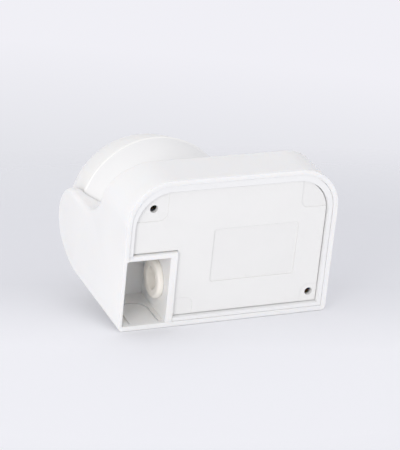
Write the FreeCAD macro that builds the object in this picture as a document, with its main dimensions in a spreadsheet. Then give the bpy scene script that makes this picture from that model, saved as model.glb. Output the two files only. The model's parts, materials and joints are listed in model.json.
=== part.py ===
import FreeCAD, Part
import math
import os
import re
import Sketcher

os.makedirs("parts", exist_ok=True)
doc = FreeCAD.newDocument("detector")
sheet = doc.addObject("Spreadsheet::Sheet", "sizes")
V = FreeCAD.Vector

SIZES = (
    # housing: X across, Y away from the wall, Z up, wall plane at Y 0, underside at Z 0
    ("body_width", 110, "outer width"),
    ("body_height", 78, "outer height"),
    ("corner_round", 22, "upper corners seen from the wall"),
    ("wall", 2.5, "wall thickness"),
    ("belly_start", 58.5, "depth where the underside starts to curve"),
    ("belly_depth", 34, "depth of the curved underside"),
    ("belly_rise", 22, "height of the curved underside"),
    ("belly_sink", 0.25, "how far the curve would dip below the underside"),
    ("nose_round", 18.55, "upper front of the cradle"),
    ("hollow_round", 24, "hollow between cradle and sloping front"),
    ("slope_angle", 26, "lean of the upper front in degrees"),
    ("slope_top", 25.1, "depth of the slope at the top"),
    ("top_round", 4, "upper front edge"),
    ("edge_round", 2.4, "side edges of the front"),
    # rear recess, seal and plate
    ("rim_step", 0.5, "depth of the inner rim below the wall plane"),
    ("plate_depth", 2.2, "outer face of the plate below the wall plane"),
    ("plate_thickness", 2.5, "plate"),
    ("plate_half", "=body_width / 2 - 5", "half width of the plate"),
    ("plate_low", 4.9, "lower edge of the plate"),
    ("plate_high", "=body_height - 6.3", "upper edge of the plate"),
    ("plate_round", "=corner_round - 4.2", "upper corners of the plate"),
    ("plate_edge", 0.4, "bevel round the plate"),
    ("plate_gap", 0.4, "gap round the plate"),
    ("seal_gap", 0.1, "seal to housing"),
    ("ledge_width", 4, "shelf that carries seal and plate"),
    ("ledge_thickness", 2.6, "shelf"),
    ("label_left", -8.6, "label recess"),
    ("label_width", 44.5, "label recess"),
    ("label_low", "=plate_low + 16.4", "label recess"),
    ("label_height", 28.2, "label recess"),
    ("label_depth", 0.5, "label recess"),
    ("label_round", 1.5, "label recess corners"),
    ("pad_depth", 0.3, "corner pads"),
    ("pad_left_reach", 16.2, "upper left pad, in from the plate's side"),
    ("pad_left_drop", 15, "upper left pad, down from the plate's top"),
    ("pad_right_reach", 14, "upper right pad"),
    ("pad_right_drop", 14.8, "upper right pad"),
    ("pad_middle_reach", 10.1, "pad beside the compartment"),
    ("pad_middle_rise", 9.2, "pad beside the compartment"),
    ("pad_low_reach", 9, "lower right pad"),
    ("pad_low_rise", 9.6, "lower right pad"),
    ("pad_round", 4, "pad corners"),
    ("wall_screw_radius", 2, "holes for the wall screws"),
    ("screw_left_x", "=13.9 - body_width / 2", "upper left wall screw"),
    ("screw_left_z", "=body_height - 14.8", "upper left wall screw"),
    ("screw_right_x", "=body_width / 2 - 9.2", "lower right wall screw"),
    ("screw_right_z", 10.1, "lower right wall screw"),
    ("hook_width", 8, "hooks of the plate"),
    ("hook_thickness", 1.5, "hooks of the plate"),
    ("hook_play", 0.2, "hooks to shelf"),
    ("hook_low_left", 5, "lower hooks"),
    ("hook_low_right", 33, "lower hooks"),
    ("hook_high_left", -24, "upper hooks"),
    ("hook_high_right", 16, "upper hooks"),
    ("rib_left", -4, "stiffening ribs of the plate"),
    ("rib_right", 40, "stiffening ribs of the plate"),
    ("rib_low", 16, "lower stiffening rib"),
    ("rib_high", "=body_height - 22", "upper stiffening rib"),
    ("rib_width", 1.2, "stiffening ribs of the plate"),
    ("rib_height", 3, "stiffening ribs of the plate"),
    # cable compartment
    ("bay_side", 1.7, "outer wall beside the compartment"),
    ("bay_right", "=24.3 - body_width / 2", "inner right face of the compartment"),
    ("bay_top", 37.2, "inner upper face of the compartment"),
    ("bay_depth", 32, "floor of the compartment"),
    ("bay_wall", 2.4, "upper and front walls of the compartment"),
    ("bay_cheek", 3.6, "right wall of the compartment"),
    ("knock_radius", 7.5, "break-out in the lower wall"),
    ("knock_x", "=14 - body_width / 2", "middle of the break-out"),
    ("knock_y", 15.2, "end of the straight part of the break-out"),
    ("groove_width", 0.8, "groove round the break-out"),
    ("groove_depth", 0.8, "groove round the break-out"),
    ("cable_y", 16, "cable entry"),
    ("cable_z", 19, "cable entry"),
    ("cable_hole", 7.2, "hole for the grommet"),
    ("grommet_gap", 0.1, "grommet to hole"),
    ("grommet_flange", 10, "outer flange of the grommet"),
    ("grommet_back", 8.8, "inner flange of the grommet"),
    ("grommet_front", 3, "thickness of the outer flange"),
    ("grommet_rear", 2, "thickness of the inner flange"),
    ("grommet_bevel", 0.9, "softened edges of the outer flange"),
    ("grommet_mouth", 5.4, "mouth of the grommet"),
    ("grommet_bore", 4, "narrow end of the grommet"),
    # ball head and cradle
    ("ball_x", -11, "middle of the ball"),
    ("ball_y", 79.2, "middle of the ball"),
    ("ball_z", 22.3, "middle of the ball"),
    ("shell_radius", 42.1, "rear shell"),
    ("shell_wall", 2.5, "rear shell"),
    ("dome_radius", 40.2, "dome"),
    ("dome_wall", 2, "dome"),
    ("lip_back", 8.7, "rim of the rear shell behind the middle"),
    ("head_angle", 11.7, "how far the head looks down, degrees"),
    ("socket_gap", 0.9, "ball to cradle"),
    ("socket_wall", 2.4, "cradle wall"),
    ("arm_wall", 2.4, "left arm at the pivot"),
    ("run_gap", 0.05, "running fit"),
    ("free_gap", 0.3, "clearance"),
    ("ear_radius", 12, "pivot ears"),
    ("ear_inner", 36, "inner face of the ears from the middle"),
    ("ear_outer", "=shell_radius - 0.8", "outer face of the ears from the middle"),
    ("ear_gap", 0.4, "dome to ears"),
    ("pin_radius", 4, "left pivot pin"),
    ("tube_radius", 6, "right pivot tube"),
    ("tube_bore", 4.2, "wire passage"),
    ("tube_boss", 9, "boss round the tube"),
    ("tube_seat", "=body_width / 2 - 15", "end of the boss"),
    ("tube_flange", 8, "flange of the tube"),
    ("tube_flange_thickness", 1.5, "flange of the tube"),
    ("tube_end", 34.2, "inner end of the tube from the middle of the ball"),
    ("washer_radius", 10, "friction washer"),
    ("washer_seat", 42.6, "seat of the washer from the middle of the ball"),
    ("washer_thickness", 0.9, "friction washer"),
    ("clip_radius", 8.2, "retaining clip"),
    ("clip_start", 34.9, "retaining clip from the middle of the ball"),
    ("clip_thickness", 0.8, "retaining clip"),
    ("clip_groove", 5.3, "groove radius in the tube"),
    ("flange_inner", 35.5, "inner flange of the shell"),
    ("flange_thickness", 2, "inner flange of the shell"),
    ("gasket_inner", 36.4, "gasket groove"),
    ("gasket_outer", 38, "gasket groove"),
    ("gasket_depth", 1, "gasket groove"),
    ("dome_flange", 1.5, "inner flange of the dome"),
    ("post_circle", 16, "posts of the sensor board"),
    ("post_radius", 3, "posts of the sensor board"),
    ("post_start", 37.4, "foot of the posts behind the middle"),
    ("board_front", 2, "rear face of the sensor board"),
    ("board_thickness", 1.6, "boards"),
    ("sensor_board_radius", 24, "sensor board"),
    ("module_size", 22, "sensor module"),
    ("module_height", 4, "sensor module"),
    ("patch_size", 4.6, "aerial patches"),
    ("patch_height", 0.4, "aerial patches"),
    ("patch_pitch", 7.5, "aerial patches"),
    ("lamp_radius", 1.5, "indicator lamp"),
    ("lamp_height", 4, "indicator lamp"),
    ("plug_width", 10, "plug of the sensor board"),
    ("plug_height", 6, "plug of the sensor board"),
    ("plug_depth", 6, "plug of the sensor board"),
    ("plug_wall", 1, "plug of the sensor board"),
    # main board
    ("board_y", 14, "rear face of the main board"),
    ("board_left", -22, "main board"),
    ("board_right", "=body_width / 2 - 8", "main board"),
    ("board_low", 14, "main board"),
    ("board_high", "=body_height - 8", "main board"),
    ("board_cut", 6, "bevelled corner of the main board"),
    ("boss_half", 2.8, "bosses of the main board"),
    ("boss_end", 60, "bosses run into the front wall"),
    ("boss_left", -17, "left bosses"),
    ("boss_right", "=board_right - 4", "right boss"),
    ("boss_middle", 12, "middle boss"),
    ("boss_top", "=board_high - 5", "upper left boss"),
    ("boss_side", "=board_high - 8", "right boss"),
    ("boss_centre", "=bay_top + 10.8", "second left boss"),
    ("boss_low", 22, "middle boss"),
    ("screw_shank", 1.25, "board screws"),
    ("screw_head", 2.6, "board screws"),
    ("screw_head_height", 1.8, "board screws"),
    ("screw_length", 6, "board screws"),
    ("screw_play", 0.1, "board screws in their bosses"),
    # pieces on the main board
    ("relay_x", 14, "relay"),
    ("relay_z", "=board_high - 20", "relay"),
    ("relay_width", 16, "relay"),
    ("relay_depth", 11, "relay"),
    ("relay_height", 14, "relay"),
    ("film_x", -9, "film capacitor"),
    ("film_z", "=board_high - 16", "film capacitor"),
    ("film_width", 18, "film capacitor"),
    ("film_depth", 10, "film capacitor"),
    ("film_height", 8, "film capacitor"),
    ("can_x", 0, "electrolytic capacitor"),
    ("can_z", 43, "electrolytic capacitor"),
    ("can_radius", 5, "electrolytic capacitor"),
    ("can_length", 13, "electrolytic capacitor"),
    ("can_rim", 0.6, "rolled rim of the can"),
    ("can_dip", 0.4, "rolled rim of the can"),
    ("disc_x", -14.5, "varistor"),
    ("disc_z", "=board_high - 13", "varistor"),
    ("disc_rise", 5.4, "varistor"),
    ("disc_radius", 4.6, "varistor"),
    ("disc_thickness", 3.4, "varistor"),
    ("lead_width", 0.7, "leads of the varistor"),
    ("lead_spread", 2.4, "leads of the varistor"),
    ("fuse_x", 34, "fuse"),
    ("fuse_z", 24, "fuse"),
    ("fuse_rise", 3.6, "fuse"),
    ("fuse_radius", 2.6, "fuse"),
    ("fuse_length", 20, "fuse"),
    ("clip_half", 2.2, "fuse clips"),
    ("clip_height", 3, "fuse clips"),
    ("clip_inset", 2, "fuse clips"),
    ("choke_x", 20, "choke"),
    ("choke_z", 37, "choke"),
    ("choke_flange", 6, "choke"),
    ("choke_core", 4.8, "choke"),
    ("choke_rim", 1.5, "choke"),
    ("choke_length", 9.5, "choke"),
    ("coil_x", -12, "transformer"),
    ("coil_z", 18, "transformer"),
    ("coil_size", 16, "transformer"),
    ("coil_foot", 2, "foot of the transformer"),
    ("coil_step", 2, "foot of the transformer"),
    ("coil_depth", 12, "transformer"),
    ("terminal_left", -21, "terminal block"),
    ("terminal_width", 12, "terminal block"),
    ("terminal_low", 14, "terminal block"),
    ("terminal_length", 30, "terminal block"),
    ("terminal_depth", 8.4, "terminal block"),
    ("pole_first", 19, "first pole"),
    ("pole_pitch", 10, "between poles"),
    ("entry_half", 1.8, "wire entries"),
    ("entry_rise", 3.4, "wire entries"),
    ("entry_length", 8, "wire entries"),
    ("well_x", 7, "screw wells"),
    ("well_radius", 2.3, "screw wells"),
    ("well_depth", 2.6, "screw wells"),
    ("clamp_head", 2.1, "clamp screws"),
    ("clamp_reach", 2, "clamp screws"),
    # adjusters
    ("knob_x", "=body_width / 2 - 11", "line of the adjusters"),
    ("knob_first", 22, "first adjuster"),
    ("knob_pitch", 15, "between adjusters"),
    ("knob_radius", 5, "knobs"),
    ("knob_low", 0.4, "lower face of the knobs"),
    ("knob_high", 3.3, "upper face of the knobs"),
    ("knob_slot", 1.2, "slot of the knobs"),
    ("knob_slot_depth", 1, "slot of the knobs"),
    ("cup_gap", 0.6, "knob to its recess"),
    ("cup_top", 3.6, "recess of the knobs"),
    ("cup_wall", 1.4, "wall of the recess"),
    ("shaft_radius", 1.5, "knob shaft"),
    ("shaft_top", 6.8, "knob shaft"),
    ("pot_low", 5.3, "potentiometer"),
    ("pot_half", 4.7, "potentiometer"),
    ("adjuster_z", 9, "adjuster board"),
    ("adjuster_left", "=knob_x - 7.5", "adjuster board"),
    ("adjuster_width", 15, "adjuster board"),
    ("adjuster_start", 14, "adjuster board"),
    ("adjuster_length", 46, "adjuster board"),
    ("adjuster_post", 2.3, "posts of the adjuster board"),
)


def fill_sheet():
    for number, (alias, value, note) in enumerate(SIZES, start=1):
        sheet.set("A%d" % number, note)
        sheet.set("B%d" % number, str(value))
        sheet.setAlias("B%d" % number, alias)
    doc.recompute()


class Numbers:
    pass


fill_sheet()
s = Numbers()
for alias, value, note in SIZES:
    setattr(s, alias, float(sheet.get(alias)))
NAMES = set(alias for alias, value, note in SIZES)


def words(text):
    """expression text with every size name pointing at the sheet"""
    def point(found):
        name = found.group(0)
        return "sizes." + name if name in NAMES else name
    return re.sub("[a-z_]+", point, str(text))


def new_body(label, head=False, tool=False):
    """a body; everything sits half a wall lower so that Z 0 is the middle of the lower rim"""
    body = doc.addObject("PartDesign::Body", label)
    body.Label = label
    if tool:
        return body
    if head:
        tilt = FreeCAD.Rotation(V(1, 0, 0), -s.head_angle)
        body.Placement = FreeCAD.Placement(V(0, 0, 0), tilt)
        body.setExpression("Placement.Base.x", words("ball_x"))
        body.setExpression("Placement.Base.y", words("ball_y"))
        body.setExpression("Placement.Base.z", words("ball_z - wall / 2"))
    else:
        body.setExpression("Placement.Base.z", words("-wall / 2"))
    return body


SEAM = 45
TURNS = {"X": (V(0, 1, 0), 90), "Y": (V(1, 0, 0), -90), "Z": (V(0, 0, 1), 0)}


def place(thing, at, axis):
    direction, angle = TURNS[axis]
    thing.Placement = FreeCAD.Placement(V(0, 0, 0), FreeCAD.Rotation(direction, angle))
    for letter, text in zip("xyz", at):
        thing.setExpression("Placement.Base." + letter, words(text))


def cylinder(body, way, radius, at, length, axis):
    """round solid added or cut, starting at a point and running along an axis"""
    thing = body.newObject("PartDesign::%sCylinder" % way, "round")
    thing.setExpression("Radius", words(radius))
    thing.setExpression("Height", words(length))
    place(thing, at, axis)
    doc.recompute()
    return thing


def cone(body, way, radius, end_radius, at, length, axis):
    thing = body.newObject("PartDesign::%sCone" % way, "cone")
    thing.setExpression("Radius1", words(radius))
    thing.setExpression("Radius2", words(end_radius))
    thing.setExpression("Height", words(length))
    place(thing, at, axis)
    doc.recompute()
    return thing


def block(body, way, low, high):
    """rectangular solid added or cut between two corners"""
    thing = body.newObject("PartDesign::%sBox" % way, "block")
    for name, first, last in zip(("Length", "Width", "Height"), low, high):
        thing.setExpression(name, words("(%s) - (%s)" % (last, first)))
    place(thing, low, "Z")
    doc.recompute()
    return thing


def ball(body, way, radius, at):
    thing = body.newObject("PartDesign::%sSphere" % way, "ball")
    thing.setExpression("Radius", words(radius))
    place(thing, at, "Y")
    doc.recompute()
    return thing


def drawing(body, role, edges, offset=None):
    """sketch on one of the body's own planes"""
    sketch = body.newObject("Sketcher::SketchObject", "drawing")
    plane = [f for f in body.Origin.OriginFeatures if f.Role == role][0]
    sketch.AttachmentSupport = [(plane, "")]
    sketch.MapMode = "FlatFace"
    if offset is not None:
        sketch.setExpression("AttachmentOffset.Base.z", words(offset))
    for edge in edges:
        sketch.addGeometry(edge, False)
    doc.recompute()
    return sketch


def extrude(body, kind, sketch, length, both=False, turned=False):
    """pad or pocket of a sketch"""
    thing = body.newObject("PartDesign::" + kind, kind.lower())
    thing.Profile = sketch
    if both:
        thing.SideType = "Symmetric"
    thing.Reversed = turned
    thing.setExpression("Length", words(length))
    doc.recompute()
    return thing


def revolve(body, kind, sketch, at=(0, 0, 0)):
    """full turn about Y, the drawing turned so that its seam stays clear of ears and posts"""
    sketch.AttachmentOffset = FreeCAD.Placement(V(0, 0, 0), FreeCAD.Rotation(V(0, 1, 0), SEAM))
    for letter, text in zip("xyz", at):
        sketch.setExpression("AttachmentOffset.Base." + letter, words(text))
    thing = body.newObject("PartDesign::" + kind, kind.lower())
    thing.Profile = sketch
    thing.ReferenceAxis = (sketch, ["V_Axis"])
    thing.Angle = 360
    doc.recompute()
    return thing


def line(first, last):
    return Part.LineSegment(V(first[0], first[1], 0), V(last[0], last[1], 0))


def arc(centre, radius, start, end):
    circle = Part.Circle(V(centre[0], centre[1], 0), V(0, 0, 1), radius)
    return Part.ArcOfCircle(circle, math.radians(start), math.radians(end))


def circle(centre, radius):
    return Part.Circle(V(centre[0], centre[1], 0), V(0, 0, 1), radius)


def loop(points):
    return [line(a, b) for a, b in zip(points, points[1:] + points[:1])]


def rounded(points):
    """closed outline through corners given as x, y, radius, the corners rounded"""
    edges = []
    ends = []
    count = len(points)
    for k in range(count):
        before = V(points[k - 1][0], points[k - 1][1], 0)
        here = V(points[k][0], points[k][1], 0)
        after = V(points[(k + 1) % count][0], points[(k + 1) % count][1], 0)
        radius = points[k][2]
        back = (before - here).normalize()
        ahead = (after - here).normalize()
        if radius <= 0:
            ends.append((here, here))
            continue
        half = back.getAngle(ahead) / 2
        reach = radius / math.tan(half)
        start = here + back * reach
        end = here + ahead * reach
        centre = here + (back + ahead).normalize() * (radius / math.sin(half))
        middle = centre + (here - centre).normalize() * radius
        edges.append(Part.Arc(start, middle, end))
        ends.append((start, end))
    for k in range(count):
        first = ends[k - 1][1]
        last = ends[k][0]
        edges.append(Part.LineSegment(first, last))
    return edges


def side_view(inset, rear):
    """outline of the housing from the side, drawn as Y and Z, taken a distance inside"""
    lean = math.radians(s.slope_angle)
    nose_y = s.belly_start + s.belly_depth - s.nose_round
    middle = s.belly_rise - s.belly_sink
    cradle = middle + s.nose_round
    hollow_z = cradle + s.hollow_round
    rise = s.body_height - hollow_z + s.hollow_round * math.sin(lean)
    hollow_y = s.slope_top + rise * math.tan(lean) + s.hollow_round * math.cos(lean)
    reach = s.hollow_round + inset
    meet = (hollow_y - reach * math.cos(lean), hollow_z - reach * math.sin(lean))
    top_y = s.slope_top + s.top_round * (math.tan(lean) - 1 / math.cos(lean))
    top_z = s.body_height - s.top_round
    small = s.top_round - inset
    turn = (top_y + small * math.cos(lean), top_z + small * math.sin(lean))
    long_half = s.belly_depth - inset
    short_half = s.belly_rise - inset
    belly = Part.Ellipse(V(s.belly_start, middle, 0), long_half, short_half)
    dip = -math.asin((middle - inset) / short_half)
    return [
        line((rear, inset), (s.belly_start + long_half * math.cos(dip), inset)),
        Part.ArcOfEllipse(belly, dip, 0),
        arc((nose_y, middle), s.nose_round - inset, 0, 90),
        line((nose_y, cradle - inset), (hollow_y, cradle - inset)),
        arc((hollow_y, hollow_z), reach, 180 + s.slope_angle, 270),
        line(meet, turn),
        arc((top_y, top_z), small, s.slope_angle, 90),
        line((top_y, s.body_height - inset), (rear, s.body_height - inset)),
        line((rear, s.body_height - inset), (rear, inset)),
    ]


def corner_waste(inset):
    """the two upper corners outside the rounding, seen from the wall"""
    edges = []
    radius = s.corner_round - inset
    top = s.body_height - inset
    far = s.body_width
    for side in (-1, 1):
        x = side * (s.body_width / 2 - inset)
        near = x - side * radius
        points = [(near, top), (near, far), (x + side * radius, far), (x + side * radius, top - radius)]
        edges += [line(points[0], points[1]), line(points[1], points[2]), line(points[2], points[3])]
        edges.append(line(points[3], (x, top - radius)))
        start = 90 if side < 0 else 0
        edges.append(arc((near, top - radius), radius, start, start + 90))
    return edges


def rear_outline(half, low, high, radius, notch_x=None, notch_z=None):
    """outline seen from the wall, upper corners rounded, lower left cut out if asked"""
    points = [(half, low, 0), (half, high, radius), (-half, high, radius)]
    if notch_x is None:
        points.append((-half, low, 0))
    else:
        points += [(-half, notch_z, 0), (notch_x, notch_z, 0), (notch_x, low, 0)]
    return rounded(points)


def chords(radius, start, end, count):
    """a round line about the middle as a few straight ones"""
    points = []
    for k in range(count + 1):
        angle = math.radians(start + (end - start) * k / count)
        points.append((radius * math.cos(angle), radius * math.sin(angle)))
    return [line(a, b) for a, b in zip(points, points[1:])]


def slot_shape(radius, start):
    """tongue drawn as Y and Z: straight sides, round end about the pivot"""
    return [
        line((start, -radius), (0, -radius)),
        arc((0, 0), radius, -90, 90),
        line((0, radius), (start, radius)),
        line((start, radius), (start, -radius)),
    ]


def knob_y(number):
    return "(knob_first + %g * knob_pitch)" % number


def pole_z(number):
    return "(pole_first + %d * pole_pitch)" % number


def plate_bottom():
    return "plate_depth + plate_thickness"


BAY_LEFT = "-body_width / 2 + bay_side"
BOSSES = (
    ("boss_left", "boss_top"),
    ("boss_right", "boss_side"),
    ("boss_left", "boss_centre"),
    ("boss_middle", "boss_low"),
)
POLES = range(3)
KNOBS = range(3)
BOARD_POSTS = (90, 210, 330)
POST_ROWS = (0.5, 1.5)
BALL = ("ball_x", "ball_y", "ball_z")
NOTCH_X = "bay_right + bay_cheek"
FRONT = "board_y + board_thickness"
nodes = []


def finish(body):
    nodes.append(body)
    return body


# hollow of the housing, with the solid places taken out of it
hollow = new_body("hollow", tool=True)
seat = s.plate_depth + s.plate_thickness
shelf = seat + s.ledge_thickness
sketch = drawing(hollow, "YZ_Plane", side_view(s.wall, shelf))
extrude(hollow, "Pad", sketch, "body_width - 2 * wall", both=True)
sketch = drawing(hollow, "XZ_Plane", corner_waste(s.wall))
extrude(hollow, "Pocket", sketch, "4 * body_width", both=True)
BOWL_SIDES = 5
bowl = (s.shell_radius + s.socket_gap + s.socket_wall) / math.cos(math.pi / BOWL_SIDES / 2)
edges = chords(bowl, -90, 90, BOWL_SIDES) + [line((0, bowl), (0, -bowl))]
revolve(hollow, "Groove", drawing(hollow, "XY_Plane", edges), BALL)
block(hollow, "Subtractive", ("-body_width", "-wall", "-wall"),
      (NOTCH_X, "bay_depth + bay_wall", "bay_top + bay_wall + free_gap / 3"))
block(hollow, "Subtractive", ("-body_width", "belly_start", "-wall"),
      ("ball_x - shell_radius / 2", "body_width", "body_height"))
for x, z in BOSSES:
    block(hollow, "Subtractive", (x + " - boss_half", FRONT, z + " - boss_half"),
          (x + " + boss_half", FRONT + " + boss_end", z + " + boss_half"))
CUP = "(knob_radius + cup_gap + cup_wall)"
block(hollow, "Subtractive", ("knob_x - " + CUP, knob_y(0) + " - " + CUP, "-wall"),
      ("knob_x + " + CUP, knob_y(2) + " + " + CUP, "cup_top + cup_wall"))
for row in POST_ROWS:
    block(hollow, "Subtractive", ("knob_x - adjuster_post", knob_y(row) + " - adjuster_post", "-wall"),
          ("knob_x + adjuster_post", knob_y(row) + " + adjuster_post", "adjuster_z"))
cylinder(hollow, "Subtractive", "tube_boss", ("ball_x + shell_radius", "ball_y", "ball_z"),
         "tube_seat - ball_x - shell_radius", "X")

# space of the ball in the cradle, flat towards both arms
socket = new_body("socket", tool=True)
ball(socket, "Additive", "shell_radius + socket_gap", BALL)
block(socket, "Subtractive", ("-2 * body_width", "-body_width", "-body_width"),
      ("-body_width / 2 + arm_wall", "2 * body_width", "body_width"))
cylinder(socket, "Additive", "washer_radius + cup_gap", ("ball_x", "ball_y", "ball_z"), "washer_seat", "X")

housing = new_body("housing")
sketch = drawing(housing, "YZ_Plane", side_view(0, 0))
extrude(housing, "Pad", sketch, "body_width", both=True)
sketch = drawing(housing, "XZ_Plane", corner_waste(0))
blank = extrude(housing, "Pocket", sketch, "4 * body_width", both=True)


def front_edges(shape):
    """edges where the side faces meet the front"""
    names = []
    limit = s.body_width / 2 - s.corner_round
    for number, edge in enumerate(shape.Edges, start=1):
        box = edge.BoundBox
        if box.YMin < s.top_round or box.ZMin < s.belly_rise / 2:
            continue
        across = box.XMax - box.XMin
        outer = min(abs(box.XMin), abs(box.XMax))
        if across < s.rim_step and outer > s.body_width / 2 - s.rim_step:
            names.append("Edge%d" % number)
    return names


rounding = housing.newObject("PartDesign::Fillet", "rounding")
rounding.Base = (blank, front_edges(blank.Shape))
rounding.setExpression("Radius", words("edge_round"))
doc.recompute()
if "Invalid" in rounding.State or "Error" in rounding.State:
    raise RuntimeError("front edges can't be rounded")

cut = housing.newObject("PartDesign::Boolean", "emptied")
cut.Type = "Cut"
cut.setObjects([hollow, socket])
doc.recompute()

inner = s.body_width / 2 - s.wall
top = s.body_height - s.wall
sketch = drawing(housing, "XZ_Plane", rear_outline(inner, s.wall, top, s.corner_round - s.wall))
extrude(housing, "Pocket", sketch, "rim_step")
notch_x = s.bay_right + s.bay_cheek
notch_z = s.bay_top + s.bay_wall
edges = rear_outline(inner, s.wall, top, s.corner_round - s.wall, notch_x, notch_z)
sketch = drawing(housing, "XZ_Plane", edges)
extrude(housing, "Pocket", sketch, plate_bottom())
deep = s.ledge_width + s.wall
edges = rear_outline(inner - s.ledge_width, deep, top - s.ledge_width, s.corner_round - deep,
                     notch_x, notch_z)
sketch = drawing(housing, "XZ_Plane", edges)
extrude(housing, "Pocket", sketch, plate_bottom() + " + ledge_thickness + rim_step / 10")
block(housing, "Subtractive", (BAY_LEFT, "-wall", "wall"), ("bay_right", "bay_depth", "bay_top"))
cylinder(housing, "Subtractive", "cable_hole", ("bay_right - wall", "cable_y", "cable_z"),
         "bay_cheek + 2 * wall", "X")

ring = s.knock_radius + s.groove_width / 2
core = s.knock_radius - s.groove_width / 2
edges = [
    line((s.knock_x - ring, s.wall), (s.knock_x - ring, s.knock_y)),
    arc((s.knock_x, s.knock_y), ring, 0, 180),
    line((s.knock_x + ring, s.knock_y), (s.knock_x + ring, s.wall)),
    line((s.knock_x + ring, s.wall), (s.knock_x + core, s.wall)),
    line((s.knock_x + core, s.wall), (s.knock_x + core, s.knock_y)),
    arc((s.knock_x, s.knock_y), core, 0, 180),
    line((s.knock_x - core, s.knock_y), (s.knock_x - core, s.wall)),
    line((s.knock_x - core, s.wall), (s.knock_x - ring, s.wall)),
]
sketch = drawing(housing, "XY_Plane", edges, "wall")
extrude(housing, "Pocket", sketch, "groove_depth")

cylinder(housing, "Additive", "pin_radius", ("-body_width / 2 + arm_wall / 2", "ball_y", "ball_z"),
         "body_width / 2 - arm_wall / 2 + ball_x - ear_inner - cup_gap", "X")
cylinder(housing, "Subtractive", "tube_radius + run_gap", ("ball_x", "ball_y", "ball_z"),
         "tube_seat - ball_x + wall", "X")
for number in KNOBS:
    cylinder(housing, "Subtractive", "knob_radius + cup_gap", ("knob_x", knob_y(number), "-wall"),
             "wall + cup_top", "Z")
    cylinder(housing, "Subtractive", "shaft_radius + free_gap", ("knob_x", knob_y(number), 0),
             "cup_top + 2 * cup_wall", "Z")
for x, z in BOSSES:
    cylinder(housing, "Subtractive", "screw_shank + screw_play", (x, FRONT + " - free_gap", z),
             "screw_length", "Y")
for row in POST_ROWS:
    cylinder(housing, "Subtractive", "screw_shank + screw_play",
             ("knob_x", knob_y(row), "adjuster_z - screw_length + board_thickness"), "screw_length", "Z")
finish(housing)

# plate towards the wall
plate = new_body("wall_plate")
gap_x = notch_x + s.plate_gap
gap_z = notch_z + s.plate_gap
edges = rear_outline(s.plate_half, s.plate_low, s.plate_high, s.plate_round, gap_x, gap_z)
sketch = drawing(plate, "XZ_Plane", edges, "-plate_depth")
base = extrude(plate, "Pad", sketch, "plate_thickness", turned=True)
rim = []
for number, edge in enumerate(base.Shape.Edges, start=1):
    box = edge.BoundBox
    if box.YMax < s.plate_depth + s.plate_edge:
        rim.append("Edge%d" % number)
bevel = plate.newObject("PartDesign::Chamfer", "bevel")
bevel.Base = (base, rim)
bevel.setExpression("Size", words("plate_edge"))
doc.recompute()
left = s.label_left
right = s.label_left + s.label_width
low = s.label_low
high = s.label_low + s.label_height
r = s.label_round
label = rounded([(left, low, r), (right, low, r), (right, high, r), (left, high, r)])
extrude(plate, "Pocket", drawing(plate, "XZ_Plane", label, "-plate_depth"), "label_depth")
far = s.body_width
r = s.pad_round


def pad(inner_x, inner_z, outer_x, outer_z):
    """shallow pad that runs off the plate on its outer sides"""
    corners = [(inner_x, inner_z, r), (outer_x, inner_z, 0), (outer_x, outer_z, 0), (inner_x, outer_z, 0)]
    extrude(plate, "Pocket", drawing(plate, "XZ_Plane", rounded(corners), "-plate_depth"), "pad_depth")


pad(s.pad_left_reach - s.plate_half, s.plate_high - s.pad_left_drop, -far, far)
pad(s.plate_half - s.pad_right_reach, s.plate_high - s.pad_right_drop, far, far)
pad(gap_x + s.pad_middle_reach, s.plate_low + s.pad_middle_rise, gap_x - r, -far)
pad(s.plate_half - s.pad_low_reach, s.plate_low + s.pad_low_rise, far, -far)
for x, z in (("screw_left_x", "screw_left_z"), ("screw_right_x", "screw_right_z")):
    cylinder(plate, "Subtractive", "wall_screw_radius", (x, 0, z), "4 * plate_thickness", "Y")
for z in ("rib_low", "rib_high"):
    block(plate, "Additive", ("rib_left", plate_bottom(), z),
          ("rib_right", plate_bottom() + " + rib_height", z + " + rib_width"))


LOW_EDGE = "wall + ledge_width + hook_play"
LOW_HOOK = (LOW_EDGE, LOW_EDGE + " + hook_thickness", "2 * wall", LOW_EDGE + " + hook_thickness")
HIGH_EDGE = "body_height - wall - ledge_width - hook_play"
HIGH_HOOK = (HIGH_EDGE + " - hook_thickness", HIGH_EDGE, HIGH_EDGE + " - hook_thickness",
             "body_height - 2 * wall")


def hook(x, foot_low, foot_high, toe_low, toe_high):
    """hook behind the shelf: the foot stands on the plate, the toe reaches outwards"""
    reach = plate_bottom() + " + ledge_thickness + hook_play"
    end = reach + " + hook_thickness"
    block(plate, "Additive", (x, plate_bottom(), foot_low), (x + " + hook_width", end, foot_high))
    block(plate, "Additive", (x, reach, toe_low), (x + " + hook_width", end, toe_high))


for x in ("hook_low_left", "hook_low_right"):
    hook(x, *LOW_HOOK)
for x in ("hook_high_left", "hook_high_right"):
    hook(x, *HIGH_HOOK)
finish(plate)

# seal round the plate, open at the compartment
seal = new_body("perimeter_seal")
g = s.seal_gap
edges = rear_outline(inner - g, s.wall + g, top - g, s.corner_round - s.wall - g)
sketch = drawing(seal, "XZ_Plane", edges, "-rim_step")
extrude(seal, "Pad", sketch, plate_bottom() + " - rim_step", turned=True)
g = s.plate_gap
edges = rear_outline(s.plate_half + g, s.plate_low - g, s.plate_high + g, s.plate_round + g)
sketch = drawing(seal, "XZ_Plane", edges)
extrude(seal, "Pocket", sketch, "2 * plate_thickness + plate_depth")
block(seal, "Subtractive", ("-body_width", "-wall", "-wall"),
      (NOTCH_X + " + seal_gap", "2 * wall", "bay_top + bay_wall + seal_gap"))
finish(seal)

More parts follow.
